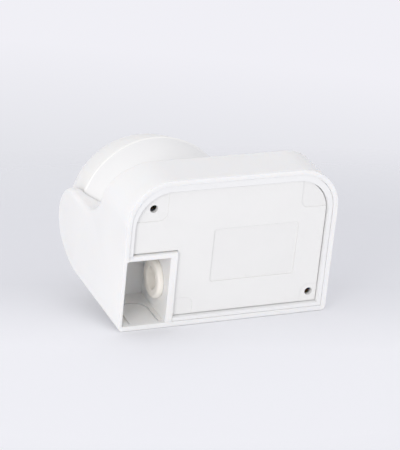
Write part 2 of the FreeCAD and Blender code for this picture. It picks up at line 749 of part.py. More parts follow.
grommet = new_body("cable_grommet")
AT = ("cable_y", "cable_z")
cylinder(grommet, "Additive", "grommet_flange", ("bay_right - grommet_front",) + AT, "grommet_front", "X")
cylinder(grommet, "Additive", "cable_hole - grommet_gap", ("bay_right",) + AT, "bay_cheek", "X")
cylinder(grommet, "Additive", "grommet_back", (NOTCH_X,) + AT, "grommet_rear", "X")
cone(grommet, "Subtractive", "grommet_mouth", "grommet_bore", ("bay_right - grommet_front",) + AT,
     "grommet_front + bay_cheek / 2", "X")
last = cylinder(grommet, "Subtractive", "grommet_bore", ("bay_right",) + AT,
                "2 * grommet_rear + bay_cheek", "X")
rims = []
for number, edge in enumerate(last.Shape.Edges, start=1):
    box = edge.BoundBox
    if box.XMax - box.XMin < s.run_gap and box.XMin < s.bay_right - s.grommet_front + s.run_gap:
        rims.append("Edge%d" % number)
soft = grommet.newObject("PartDesign::Chamfer", "soft")
soft.Base = (last, rims)
soft.setExpression("Size", words("grommet_bevel"))
doc.recompute()
finish(grommet)

# main board and what stands on it
board = new_body("main_board")
points = [(s.board_left, s.board_low), (s.board_right, s.board_low),
          (s.board_right, s.board_high - s.board_cut), (s.board_right - s.board_cut, s.board_high),
          (s.board_left, s.board_high)]
sketch = drawing(board, "XZ_Plane", loop(points), "-board_y")
extrude(board, "Pad", sketch, "board_thickness", turned=True)
for x, z in BOSSES:
    cylinder(board, "Subtractive", "screw_shank + free_gap", (x, "board_y - free_gap", z),
             "2 * board_thickness", "Y")
finish(board)


def case(label, name, low_z, width, depth, height):
    """box on the front face of the main board"""
    body = new_body(label)
    block(body, "Additive", (name, FRONT, low_z),
          ("%s + %s" % (name, width), "%s + %s" % (FRONT, depth), "%s + %s" % (low_z, height)))
    return body


finish(case("relay", "relay_x", "relay_z", "relay_width", "relay_depth", "relay_height"))
finish(case("film_capacitor", "film_x", "film_z", "film_width", "film_depth", "film_height"))

can = new_body("electrolytic_capacitor")
cylinder(can, "Additive", "can_radius", ("can_x", FRONT, "can_z"), "can_length", "Y")
cylinder(can, "Subtractive", "can_radius - can_rim", ("can_x", FRONT + " + can_length - can_dip", "can_z"),
         "can_length", "Y")
finish(can)

disc = new_body("varistor")
cylinder(disc, "Additive", "disc_radius", ("disc_x", FRONT + " + disc_rise", "disc_z"),
         "disc_thickness", "X")
MIDDLE = "disc_x + disc_thickness / 2"
for shift in ("- lead_spread", "+ lead_spread"):
    z = "disc_z " + shift
    block(disc, "Additive", (MIDDLE + " - lead_width / 2", FRONT, z + " - lead_width / 2"),
          (MIDDLE + " + lead_width / 2", FRONT + " + disc_radius / 2", z + " + lead_width / 2"))
finish(disc)

fuse = new_body("fuse")
cylinder(fuse, "Additive", "fuse_radius", ("fuse_x", FRONT + " + fuse_rise", "fuse_z"), "fuse_length", "Z")
for z in ("fuse_z + clip_inset", "fuse_z + fuse_length - clip_inset - clip_height"):
    block(fuse, "Additive", ("fuse_x - clip_half", FRONT, z),
          ("fuse_x + clip_half", FRONT + " + fuse_rise", z + " + clip_height"))
finish(fuse)

choke = new_body("choke")
for start, radius, length in (("0", "choke_flange", "choke_rim"), ("0", "choke_core", "choke_length"),
                              ("choke_length - choke_rim", "choke_flange", "choke_rim")):
    cylinder(choke, "Additive", radius, ("choke_x", FRONT + " + " + start, "choke_z"), length, "Y")
finish(choke)

transformer = case("transformer", "coil_x", "coil_z", "coil_size", "coil_foot", "coil_size")
block(transformer, "Additive", ("coil_x + coil_step", FRONT, "coil_z + coil_step"),
      ("coil_x + coil_size - coil_step", FRONT + " + coil_depth", "coil_z + coil_size - coil_step"))
finish(transformer)

WELL = "board_y - terminal_depth + well_depth"
terminal = new_body("terminal_block")
block(terminal, "Additive", ("terminal_left", "board_y - terminal_depth", "terminal_low"),
      ("terminal_left + terminal_width", "board_y", "terminal_low + terminal_length"))
WELL_X = "terminal_left + well_x"
for number in POLES:
    z = pole_z(number)
    block(terminal, "Subtractive",
          ("terminal_left - wall", "board_y - entry_rise - entry_half", z + " - entry_half"),
          ("terminal_left + entry_length", "board_y - entry_rise + entry_half", z + " + entry_half"))
    cylinder(terminal, "Subtractive", "well_radius", (WELL_X, "board_y - terminal_depth - wall", z),
             "wall + well_depth", "Y")
    cylinder(terminal, "Subtractive", "screw_shank + free_gap", (WELL_X, WELL + " - run_gap", z),
             "clamp_reach + free_gap", "Y")
finish(terminal)


def screw(body, spot, axis, radius, reach, turned=False):
    """pan head screw on a face: the spot is under the head, the shank runs along the axis unless turned"""
    number = "XYZ".index(axis)
    head = list(spot)
    shank = list(spot)
    moved = shank if turned else head
    moved[number] = "(%s) - (%s)" % (spot[number], reach if turned else "screw_head_height")
    cylinder(body, "Additive", radius, head, "screw_head_height", axis)
    cylinder(body, "Additive", "screw_shank", shank, reach, axis)


def group(label, head=False):
    """one body for several equal loose pieces"""
    body = new_body(label, head)
    body.AllowCompound = True
    return body


clamp = group("terminal_screws")
for number in POLES:
    screw(clamp, (WELL_X, WELL, pole_z(number)), "Y", "clamp_head", "clamp_reach")
finish(clamp)

REACH = "screw_length - board_thickness"
fixings = group("board_screws")
for x, z in BOSSES:
    screw(fixings, (x, "board_y", z), "Y", "screw_head", REACH)
finish(fixings)

# adjusters on the underside
adjuster = new_body("adjuster_board")
block(adjuster, "Additive", ("adjuster_left", "adjuster_start", "adjuster_z"),
      ("adjuster_left + adjuster_width", "adjuster_start + adjuster_length", "adjuster_z + board_thickness"))
for row in POST_ROWS:
    cylinder(adjuster, "Subtractive", "screw_shank + free_gap", ("knob_x", knob_y(row), "adjuster_z - wall"),
             "3 * wall", "Z")
finish(adjuster)

pins = group("adjuster_board_screws")
for row in POST_ROWS:
    screw(pins, ("knob_x", knob_y(row), "adjuster_z + board_thickness"), "Z", "screw_head", REACH,
          turned=True)
finish(pins)

for number in KNOBS:
    body = new_body("potentiometer_%d" % (number + 1))
    y = knob_y(number)
    block(body, "Additive", ("knob_x - pot_half", y + " - pot_half", "pot_low"),
          ("knob_x + pot_half", y + " + pot_half", "adjuster_z"))
    cylinder(body, "Subtractive", "shaft_radius + run_gap", ("knob_x", y, "pot_low - wall"), "2 * wall", "Z")
    finish(body)

for number in KNOBS:
    body = new_body("knob_%d" % (number + 1))
    y = knob_y(number)
    cylinder(body, "Additive", "knob_radius", ("knob_x", y, "knob_low"), "knob_high - knob_low", "Z")
    cylinder(body, "Additive", "shaft_radius", ("knob_x", y, "knob_low"), "shaft_top - knob_low", "Z")
    block(body, "Subtractive", ("knob_x - knob_slot / 2", y + " - knob_radius / 3", "knob_low - wall"),
          ("knob_x + knob_slot / 2", y + " + 2 * knob_radius", "knob_low + knob_slot_depth"))
    finish(body)

# right pivot
tube = new_body("pivot_tube")
cylinder(tube, "Additive", "tube_radius", ("ball_x + tube_end", "ball_y", "ball_z"),
         "tube_seat - ball_x - tube_end", "X")
cylinder(tube, "Additive", "tube_flange", ("tube_seat", "ball_y", "ball_z"), "tube_flange_thickness", "X")
cylinder(tube, "Subtractive", "tube_bore", ("ball_x", "ball_y", "ball_z"), "body_width", "X")
cutter = drawing(tube, "YZ_Plane", [circle((0, 0), s.tube_flange), circle((0, 0), s.clip_groove)])
cutter.setExpression("AttachmentOffset.Base.x", words("ball_y"))
cutter.setExpression("AttachmentOffset.Base.y", words("ball_z"))
cutter.setExpression("AttachmentOffset.Base.z", words("ball_x + clip_start - run_gap"))
extrude(tube, "Pocket", cutter, "clip_thickness + 2 * run_gap", turned=True)
finish(tube)

washer = new_body("friction_washer")
cylinder(washer, "Additive", "washer_radius",
         ("ball_x + washer_seat - washer_thickness", "ball_y", "ball_z"), "washer_thickness", "X")
cylinder(washer, "Subtractive", "tube_radius + free_gap", ("ball_x", "ball_y", "ball_z"), "body_width", "X")
finish(washer)

clip = new_body("retaining_clip")
cylinder(clip, "Additive", "clip_radius", ("ball_x + clip_start", "ball_y", "ball_z"), "clip_thickness", "X")
cylinder(clip, "Subtractive", "clip_groove + run_gap", ("ball_x", "ball_y", "ball_z"), "body_width", "X")
block(clip, "Subtractive", ("ball_x", "ball_y - clip_groove / 2", "ball_z - 2 * clip_radius"),
      ("ball_x + body_width", "ball_y + clip_groove / 2", "ball_z"))
finish(clip)

# head, drawn about the middle of the ball with Y as the way it looks
shell = new_body("head_rear_shell", head=True)
inside = s.shell_radius - s.shell_wall
lip = s.lip_back
rim = math.sqrt(s.shell_radius ** 2 - lip ** 2)
under = lip + s.flange_thickness
rim_angle = math.degrees(math.asin(lip / s.shell_radius))
under_angle = math.degrees(math.asin(under / inside))
under_x = math.sqrt(inside ** 2 - under ** 2)
edges = [
    arc((0, 0), s.shell_radius, -90, -rim_angle),
    line((rim, -lip), (s.gasket_outer, -lip)),
    line((s.gasket_outer, -lip), (s.gasket_outer, -lip - s.gasket_depth)),
    line((s.gasket_outer, -lip - s.gasket_depth), (s.gasket_inner, -lip - s.gasket_depth)),
    line((s.gasket_inner, -lip - s.gasket_depth), (s.gasket_inner, -lip)),
    line((s.gasket_inner, -lip), (s.flange_inner, -lip)),
    line((s.flange_inner, -lip), (s.flange_inner, -under)),
    line((s.flange_inner, -under), (under_x, -under)),
    line((0, -inside), (0, -s.shell_radius)),
]
edges += chords(inside, -90, -under_angle, 4)
revolve(shell, "Revolution", drawing(shell, "XY_Plane", edges))
ear = slot_shape(s.ear_radius, -lip)
for offset in ("ear_inner", "-ear_outer"):
    extrude(shell, "Pad", drawing(shell, "YZ_Plane", ear, offset), "ear_outer - ear_inner")
far = 2 * s.shell_radius
edges = [
    arc((0, 0), s.shell_radius, -rim_angle, 90),
    line((0, s.shell_radius), (0, far)),
    line((0, far), (far, far)),
    line((far, far), (far, -lip)),
    line((far, -lip), (rim, -lip)),
]
revolve(shell, "Groove", drawing(shell, "XY_Plane", edges))
cylinder(shell, "Subtractive", "tube_radius + run_gap", (0, 0, 0), "body_width", "X")
cylinder(shell, "Subtractive", "pin_radius + run_gap", ("-body_width", 0, 0), "body_width", "X")
places = []
for angle in BOARD_POSTS:
    x = "post_circle * cos(%d deg)" % angle
    z = "post_circle * sin(%d deg)" % angle
    places.append((x, z))
    cylinder(shell, "Additive", "post_radius", (x, "-post_start", z), "post_start + board_front", "Y")
    cylinder(shell, "Subtractive", "screw_shank + screw_play", (x, "board_front - screw_length", z),
             "screw_length", "Y")
finish(shell)

dome = new_body("dome", head=True)
inside = s.dome_radius - s.dome_wall
rim = math.sqrt(s.dome_radius ** 2 - lip ** 2)
over = lip - s.dome_flange
over_x = math.sqrt(inside ** 2 - over ** 2)
edges = [
    arc((0, 0), s.dome_radius, -math.degrees(math.asin(lip / s.dome_radius)), 90),
    line((0, s.dome_radius), (0, inside)),
    line((over_x, -over), (s.flange_inner, -over)),
    line((s.flange_inner, -over), (s.flange_inner, -lip)),
    line((s.flange_inner, -lip), (rim, -lip)),
]
edges += chords(inside, -math.degrees(math.asin(over / inside)), 90, 5)
revolve(dome, "Revolution", drawing(dome, "XY_Plane", edges))
notch = slot_shape(s.ear_radius + s.ear_gap, -lip - s.wall)
extrude(dome, "Pocket", drawing(dome, "YZ_Plane", notch), "2 * body_width", both=True)
finish(dome)

gasket = new_body("dome_gasket", head=True)
g = s.seal_gap
rings = [circle((0, 0), s.gasket_outer - g), circle((0, 0), s.gasket_inner + g)]
sketch = drawing(gasket, "XZ_Plane", rings, "lip_back + run_gap")
extrude(gasket, "Pad", sketch, "gasket_depth - run_gap")
finish(gasket)

sensor = new_body("sensor_board", head=True)
cylinder(sensor, "Additive", "sensor_board_radius", (0, "board_front", 0), "board_thickness", "Y")
for x, z in places:
    cylinder(sensor, "Subtractive", "screw_shank + free_gap", (x, 0, z), "4 * board_front", "Y")
finish(sensor)

SENSOR_FRONT = "board_front + board_thickness"
module = new_body("radar_module", head=True)
block(module, "Additive", ("-module_size / 2", SENSOR_FRONT, "-module_size / 3"),
      ("module_size / 2", SENSOR_FRONT + " + module_height", "module_size / 3"))
PATCH_ROWS = (-0.5, 0.5)
PATCH_COLUMNS = (-1, 0, 1)
for row in PATCH_ROWS:
    for column in PATCH_COLUMNS:
        x = "%g * patch_pitch" % column
        z = "%g * patch_pitch" % row
        block(module, "Additive",
              (x + " - patch_size / 2", SENSOR_FRONT, z + " - patch_size / 2"),
              (x + " + patch_size / 2", SENSOR_FRONT + " + module_height + patch_height",
               z + " + patch_size / 2"))
finish(module)

lamp = new_body("indicator_lamp", head=True)
LAMP_Z = "-module_size / 2 - lamp_radius"
cylinder(lamp, "Additive", "lamp_radius", (0, SENSOR_FRONT, LAMP_Z), "lamp_height", "Y")
ball(lamp, "Additive", "lamp_radius", (0, SENSOR_FRONT + " + lamp_height", LAMP_Z))
finish(lamp)

plug = new_body("sensor_board_plug", head=True)
block(plug, "Additive", ("-plug_width / 2", "board_front - plug_depth", "-plug_height / 2"),
      ("plug_width / 2", "board_front", "plug_height / 2"))
block(plug, "Subtractive",
      ("plug_wall - plug_width / 2", "board_front - 2 * plug_depth", "plug_wall - plug_height / 2"),
      ("plug_width / 2 - plug_wall", "board_front - 2 * plug_wall", "plug_height / 2 - plug_wall"))
finish(plug)

rivets = group("sensor_board_screws", head=True)
for x, z in places:
    screw(rivets, (x, SENSOR_FRONT, z), "Y", "screw_head", REACH, turned=True)
finish(rivets)

doc.recompute()
for thing in doc.Objects:
    if "Invalid" in thing.State or "Error" in thing.State:
        raise RuntimeError(thing.Name + " can't be built")
for node in nodes:
    shape = node.Shape
    if shape.isNull() or not shape.isValid():
        raise RuntimeError(node.Label + " has no valid shape")
    print(node.Label, len(shape.Solids), round(shape.Volume / 1000, 2), "cm3")
    shape.exportStep("parts/%s.step" % node.Label)
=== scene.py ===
import json
import math

import bmesh
import bpy
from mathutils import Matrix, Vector


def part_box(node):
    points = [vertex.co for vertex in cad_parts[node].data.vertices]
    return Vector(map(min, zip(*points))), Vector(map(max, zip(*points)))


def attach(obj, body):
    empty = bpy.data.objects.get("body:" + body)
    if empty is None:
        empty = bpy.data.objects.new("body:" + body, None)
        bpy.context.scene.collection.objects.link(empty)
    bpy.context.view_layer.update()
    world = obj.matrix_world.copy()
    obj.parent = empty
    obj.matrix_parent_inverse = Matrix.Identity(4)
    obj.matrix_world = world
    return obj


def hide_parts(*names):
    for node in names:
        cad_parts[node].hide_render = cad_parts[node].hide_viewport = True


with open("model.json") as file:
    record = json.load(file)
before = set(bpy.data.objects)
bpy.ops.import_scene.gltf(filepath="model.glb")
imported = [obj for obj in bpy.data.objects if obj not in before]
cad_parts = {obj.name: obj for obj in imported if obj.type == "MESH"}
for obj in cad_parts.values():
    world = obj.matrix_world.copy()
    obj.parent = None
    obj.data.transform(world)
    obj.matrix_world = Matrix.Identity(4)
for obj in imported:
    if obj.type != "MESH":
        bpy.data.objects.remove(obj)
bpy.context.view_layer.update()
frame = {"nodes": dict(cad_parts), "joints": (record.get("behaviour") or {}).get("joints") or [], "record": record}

MM = 0.001


def named(items, name):
    """the joint or mount of that name"""
    return next(item for item in items if item["name"] == name)


# joints, places and the underside from the frame, in metres, and the head's angle below level

BALL = Vector(named(frame["joints"], "head_tilt")["pos_m"])
ADJUSTERS = [named(frame["joints"], "adjuster_%d_turn" % k) for k in (1, 2, 3)]
CABLE_ENTRY = Vector(named(frame["record"]["mounts"], "cable_entry")["pos_m"])
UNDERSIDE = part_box("housing")[0].z
HEAD_DOWN = math.radians(11.7)


# nodes shared by the materials

MIX_FIRST = 6
MIX_SECOND = 7
MIX_RESULT = 2


def new_material(name):
    mat = bpy.data.materials.new(name)
    mat.use_nodes = True
    tree = mat.node_tree
    tree.nodes.clear()
    out = tree.nodes.new("ShaderNodeOutputMaterial")
    shader = tree.nodes.new("ShaderNodeBsdfPrincipled")
    tree.links.new(shader.outputs["BSDF"], out.inputs["Surface"])
    return mat, tree, shader


def object_place(tree):
    return tree.nodes.new("ShaderNodeTexCoord").outputs["Object"]


def noise(tree, place, scale, detail, rough=0.55):
    node = tree.nodes.new("ShaderNodeTexNoise")
    node.inputs["Scale"].default_value = scale
    node.inputs["Detail"].default_value = detail
    node.inputs["Roughness"].default_value = rough
    tree.links.new(place, node.inputs["Vector"])
    return node.outputs["Fac"]


def ramp(tree, value, low, high, first=0.0, last=1.0):
    """first up to the low value, last from the high value on and a straight slope between"""
    node = tree.nodes.new("ShaderNodeMapRange")
    node.inputs["From Min"].default_value = low
    node.inputs["From Max"].default_value = high
    node.inputs["To Min"].default_value = first
    node.inputs["To Max"].default_value = last
    tree.links.new(value, node.inputs["Value"])
    return node.outputs["Result"]


def combine(tree, operation, first, second):
    """one number from a linked value and a second one, plain or linked"""
    node = tree.nodes.new("ShaderNodeMath")
    node.operation = operation
    tree.links.new(first, node.inputs[0])
    if isinstance(second, float):
        node.inputs[1].default_value = second
    else:
        tree.links.new(second, node.inputs[1])
    return node.outputs[0]


def vector_math(tree, operation, place):
    node = tree.nodes.new("ShaderNodeVectorMath")
    node.operation = operation
    tree.links.new(place, node.inputs[0])
    return node


def mix_colour(tree, factor, first, second):
    """a blend of two colours, each a plain tuple or linked"""
    node = tree.nodes.new("ShaderNodeMix")
    node.data_type = "RGBA"
    tree.links.new(factor, node.inputs["Factor"])
    for slot, colour in ((MIX_FIRST, first), (MIX_SECOND, second)):
        if isinstance(colour, tuple):
            node.inputs[slot].default_value = colour + (1.0,)
        else:
            tree.links.new(colour, node.inputs[slot])
    return node.outputs[MIX_RESULT]


def bumped(tree, shader, height, strength, distance):
    node = tree.nodes.new("ShaderNodeBump")
    node.inputs["Strength"].default_value = strength
    node.inputs["Distance"].default_value = distance
    tree.links.new(height, node.inputs["Height"])
    tree.links.new(node.outputs["Normal"], shader.inputs["Normal"])
    return node


# moulded and metal surfaces

CLOUD_SCALE = 38.0
CLOUD_DETAIL = 3.0
CLOUD_SPAN = (0.2, 0.8)
PALE_SHARE = 0.6
GLOSS_SPREAD = 0.08
GRAIN_DETAIL = 5.0
GRAIN_ROUGH = 0.65
GRAIN_DEPTH = 0.12 * MM
# how sharp an outer edge must be, and how much paler it gets as wear and a painted highlight
OUTER_EDGE = (0.515, 0.56)
EDGE_WEAR_HIGHLIGHT_LIFT = 1.08
EDGE_SAMPLES = 6
INNER_REACH = 2.0 * MM
INNER_COLOUR = (1.0, 0.9, 0.8)
COAT_ROUGH = 0.2
REFRACTION = 1.49


def brighter(colour, factor):
    return tuple(min(1.0, c * factor) for c in colour)


def toned(tree, cloud, colour, tone):
    """the colour, a little darker and paler in broad patches"""
    dark = tuple(c * (1.0 - tone) for c in colour)
    pale = brighter(colour, 1.0 + tone * PALE_SHARE)
    return mix_colour(tree, ramp(tree, cloud, *CLOUD_SPAN), dark, pale)


def rubbed_and_highlit(tree, base, colour, share):
    """the base colour with a share of another along the outer edges: wear, and a painted highlight where the edges
    would catch the light
    """
    bend = tree.nodes.new("ShaderNodeNewGeometry").outputs["Pointiness"]
    outer = ramp(tree, bend, *OUTER_EDGE)
    return mix_colour(tree, combine(tree, "MULTIPLY", outer, share), base, colour)


def soft_edges(tree, bumps, radius):
    """edges that catch the light as if rounded to the radius"""
    node = tree.nodes.new("ShaderNodeBevel")
    node.samples = EDGE_SAMPLES
    node.inputs["Radius"].default_value = radius
    tree.links.new(node.outputs["Normal"], bumps.inputs["Normal"])


def surface(name, colour, rough=0.45, grain=900.0, bump=0.06, tone=0.04, coat=0.0, metal=0.0,
            edge=0.15, edge_wear_highlight_colour=None, bevel=0.25, sheen=0.0, inner=0.0):
    """fine grain in the bump, uneven gloss and tone, edges paler by wear and a painted highlight and softened;
    bevel in millimetres
    """
    mat, tree, shader = new_material(name)
    place = object_place(tree)
    cloud = noise(tree, place, CLOUD_SCALE, CLOUD_DETAIL)
    base = toned(tree, cloud, colour, tone)
    # outer edges paler: partly wear, partly a painted highlight
    worn_and_highlit = rubbed_and_highlit(tree, base, edge_wear_highlight_colour or brighter(colour, EDGE_WEAR_HIGHLIGHT_LIFT), edge)
    tree.links.new(worn_and_highlit, shader.inputs["Base Color"])
    gloss = ramp(tree, cloud, *CLOUD_SPAN, rough - GLOSS_SPREAD, rough + GLOSS_SPREAD)
    tree.links.new(gloss, shader.inputs["Roughness"])
    shader.inputs["Metallic"].default_value = metal
    shader.inputs["Coat Weight"].default_value = coat
    shader.inputs["Coat Roughness"].default_value = COAT_ROUGH
    shader.inputs["Sheen Weight"].default_value = sheen
    shader.inputs["IOR"].default_value = REFRACTION
    if inner > 0.0:
        shader.inputs["Subsurface Weight"].default_value = inner
        shader.inputs["Subsurface Radius"].default_value = INNER_COLOUR
        shader.inputs["Subsurface Scale"].default_value = INNER_REACH
    fine = noise(tree, place, grain, GRAIN_DETAIL, GRAIN_ROUGH)
    bumps = bumped(tree, shader, fine, bump, GRAIN_DEPTH)
    if bevel > 0.0:
        soft_edges(tree, bumps, bevel * MM)
    return mat


# circuit boards

BOARD_ROUGH = 0.32
BOARD_COAT = 0.4
BOARD_COAT_ROUGH = 0.15
MASK_SCALE = 60.0
MASK_DETAIL = 4.0
MASK_DARK = (0.020, 0.120, 0.060)
MASK_PALE = (0.030, 0.170, 0.085)
TRACK_SCALE = 260.0
TRACK_SIDE = (0.05, 0.09)
TRACK_TONE = (0.060, 0.300, 0.140)
TRACK_BUMP = 0.25
TRACK_HEIGHT = 0.05 * MM


def circuit(name):
    """solder-masked board: green with a faint net of tracks"""
    mat, tree, shader = new_material(name)
    place = object_place(tree)
    cells = tree.nodes.new("ShaderNodeTexVoronoi")
    cells.feature = "DISTANCE_TO_EDGE"
    cells.inputs["Scale"].default_value = TRACK_SCALE
    tree.links.new(place, cells.inputs["Vector"])
    track = ramp(tree, cells.outputs["Distance"], *TRACK_SIDE, 1.0, 0.0)
    mask = mix_colour(tree, noise(tree, place, MASK_SCALE, MASK_DETAIL), MASK_DARK, MASK_PALE)
    tree.links.new(mix_colour(tree, track, mask, TRACK_TONE), shader.inputs["Base Color"])
    shader.inputs["Roughness"].default_value = BOARD_ROUGH
    shader.inputs["Coat Weight"].default_value = BOARD_COAT
    shader.inputs["Coat Roughness"].default_value = BOARD_COAT_ROUGH
    bumped(tree, shader, track, TRACK_BUMP, TRACK_HEIGHT)
    return mat


# one look for each CAD node

materials = {
    "white": surface("white_plastic", (0.884, 0.880, 0.866), rough=0.42, grain=1500.0, bump=0.05,
                     tone=0.015, edge=0.2, inner=0.5),
    "plate": surface("plate_plastic", (0.852, 0.849, 0.833), rough=0.48, grain=2100.0, bump=0.07,
                     tone=0.015),
    "shell": surface("shell_plastic", (0.886, 0.884, 0.872), rough=0.36, grain=1700.0, bump=0.04,
                     tone=0.015),
    # paler copy of the shell plastic: a painted highlight along the shell's edge
    "lip": surface("lip_highlight_plastic", (0.925, 0.921, 0.895), rough=0.3, grain=1700.0, bump=0.03, tone=0.01,
                   bevel=0.0),
    "dome": surface("milky_dome", (0.898, 0.890, 0.865), rough=0.34, grain=700.0, bump=0.03, tone=0.01,
                    edge=0.0, inner=0.35, bevel=0.0, coat=0.15),
    "seal": surface("seal_rubber", (0.865, 0.867, 0.862), rough=0.7, grain=2600.0, bump=0.15, sheen=0.2),
    "cream": surface("cream_rubber", (0.95, 0.91, 0.84), rough=0.62, grain=1800.0, bump=0.14, inner=0.1,
                     sheen=0.15, edge_wear_highlight_colour=(0.965, 0.93, 0.87)),
    "board": circuit("circuit_board"),
    "relay": surface("relay_case", (0.02, 0.06, 0.25), rough=0.4, bump=0.08),
    "film": surface("film_case", (0.35, 0.03, 0.02), rough=0.3, bump=0.05, coat=0.3),
    "can": surface("can_metal", (0.72, 0.72, 0.74), rough=0.28, metal=1.0, grain=600.0, bump=0.1),
    "varistor": surface("varistor_case", (0.02, 0.07, 0.28), rough=0.35, bump=0.2, grain=400.0),
    "fuse": surface("fuse_glass", (0.75, 0.77, 0.76), rough=0.12, bump=0.02, coat=0.6),
    "ferrite": surface("ferrite", (0.03, 0.03, 0.032), rough=0.6, bump=0.3),
    "transformer": surface("transformer_tape", (0.60, 0.45, 0.06), rough=0.5, bump=0.1),
    "terminal": surface("terminal_case", (0.20, 0.21, 0.22), rough=0.5, bump=0.1),
    "steel": surface("plated_steel", (0.62, 0.63, 0.65), rough=0.25, metal=1.0, bump=0.08, grain=1200.0),
    "pot": surface("adjuster_case", (0.02, 0.08, 0.30), bump=0.08),
    "knob": surface("knob_plastic", (0.09, 0.095, 0.105), rough=0.5, grain=2200.0, bump=0.16,
                    edge_wear_highlight_colour=(0.2, 0.205, 0.21)),
    "tube": surface("tube_plastic", (0.72, 0.73, 0.74), rough=0.5),
    "gasket": surface("gasket_rubber", (0.02, 0.02, 0.02), rough=0.75, bump=0.2),
    "shield": surface("module_shield", (0.66, 0.67, 0.68), rough=0.3, metal=1.0, bump=0.1),
    "lamp": surface("lamp_lens", (0.5, 0.02, 0.015), rough=0.15, bump=0.02, coat=0.8, inner=0.2),
    "plug": surface("plug_plastic", (0.74, 0.72, 0.66), rough=0.5),
}
LOOK = {
    "housing": "white", "wall_plate": "plate", "perimeter_seal": "seal", "cable_grommet": "cream",
    "main_board": "board", "relay": "relay", "film_capacitor": "film", "electrolytic_capacitor": "can",
    "varistor": "varistor", "fuse": "fuse", "choke": "ferrite", "transformer": "transformer",
    "terminal_block": "terminal", "terminal_screws": "steel", "board_screws": "steel",
    "adjuster_board": "board", "adjuster_board_screws": "steel", "potentiometer_1": "pot",
    "potentiometer_2": "pot", "potentiometer_3": "pot", "knob_1": "knob", "knob_2": "knob",
    "knob_3": "knob", "pivot_tube": "tube", "friction_washer": "steel", "retaining_clip": "steel",
    "head_rear_shell": "shell", "dome": "dome", "dome_gasket": "gasket", "sensor_board": "board",
    "radar_module": "shield", "indicator_lamp": "lamp", "sensor_board_plug": "plug",
    "sensor_board_screws": "steel",
}
for node, obj in frame["nodes"].items():
    obj.data.materials.clear()
    obj.data.materials.append(materials[LOOK[node]])


# tools for the pieces made here; their outlines and sizes are in millimetres

HARD_EDGE = math.radians(35.0)
ARC_STEPS = 7


def finished(name, bm, material, body):
    """a piece from a mesh: shaded smooth with hard edges kept, riding on its body"""
    bmesh.ops.recalc_face_normals(bm, faces=bm.faces)
    mesh = bpy.data.meshes.new(name)
    for face in bm.faces:
        face.smooth = True
    for edge in bm.edges:
        edge.smooth = len(edge.link_faces) == 2 and edge.calc_face_angle() < HARD_EDGE
    bm.to_mesh(mesh)
    bm.free()
    mesh.materials.append(materials[material])
    obj = bpy.data.objects.new(name, mesh)
    bpy.context.collection.objects.link(obj)
    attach(obj, body)
    return obj


def turned(arm, angle):
    return Vector((arm.x * math.cos(angle) - arm.y * math.sin(angle),
                   arm.x * math.sin(angle) + arm.y * math.cos(angle)))


def softened(corners):
    """closed outline with each corner (x, y, radius) turned into an arc"""
    points = []
    for k, (x, y, radius) in enumerate(corners):
        here = Vector((x, y))
        if radius <= 0.0:
            points.append(here)
            continue
        back = (Vector(corners[k - 1][:2]) - here).normalized()
        ahead = (Vector(corners[(k + 1) % len(corners)][:2]) - here).normalized()
        half = back.angle(ahead) / 2
        centre = here + (back + ahead).normalized() * radius / math.sin(half)
        first = here + back * radius / math.tan(half) - centre
        last = here + ahead * radius / math.tan(half) - centre
        turn = first.angle_signed(last)
        points += [centre + turned(first, -turn * n / ARC_STEPS) for n in range(ARC_STEPS + 1)]
    return points


def skin(bm, one, two):
    """faces between two closed rings of vertices"""
    count = len(one)
    for k in range(count):
        ahead = (k + 1) % count
        bm.faces.new((one[k], one[ahead], two[ahead], two[k]))


# grommet with the soft edges of a rubber moulding: (x, radius) about the cable entry's axis

GROMMET_OUTLINE = [
    (-30.7, 7.1, 0.0), (-30.7, 10.0, 0.5), (-33.7, 10.0, 1.5), (-33.7, 5.6, 1.2), (-30.2, 4.35, 1.2),
    (-28.4, 4.0, 1.0), (-25.1, 4.0, 0.4), (-25.1, 8.8, 0.6), (-27.1, 8.8, 0.3), (-27.1, 7.1, 0.0),
]
GROMMET_SEGMENTS = 72


def make_grommet():
    bm = bmesh.new()
    outline = softened(GROMMET_OUTLINE)
    axis = Vector((0.0, CABLE_ENTRY.y, CABLE_ENTRY.z))
    rings = []
    for n in range(GROMMET_SEGMENTS):
        angle = 2 * math.pi * n / GROMMET_SEGMENTS
        out = Vector((0.0, math.cos(angle), math.sin(angle)))
        rings.append([bm.verts.new(axis + (Vector((x, 0.0, 0.0)) + out * r) * MM) for x, r in outline])
    for one, two in zip(rings, rings[1:] + rings[:1]):
        skin(bm, one, two)
    grommet = finished("grommet_rounded", bm, "cream", "housing_body")
    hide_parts("cable_grommet")


# lip along the front edge of the head's rear shell, above and below its flat sides, paler than the shell
# as a painted highlight: (forward, radius) about the head's axis, swept between two angles in degrees

LIP_OUTLINE = [(-8.74, 40.3, 0.0), (-8.74, 41.56, 0.3), (-9.85, 41.27, 0.4), (-10.35, 40.3, 0.0)]
LIP_FIRST = 21.0
LIP_LAST = 159.0
LIP_STEPS = 110
LIP_TAPER = 7.0
LIP_SINK = 0.6


def head_point(forward, radius, angle):
    """a place in the tilted head: along its axis, out from it and round it"""
    return BALL + Vector((
        radius * math.cos(angle),
        forward * math.cos(HEAD_DOWN) + radius * math.sin(angle) * math.sin(HEAD_DOWN),
        radius * math.sin(angle) * math.cos(HEAD_DOWN) - forward * math.sin(HEAD_DOWN))) * MM


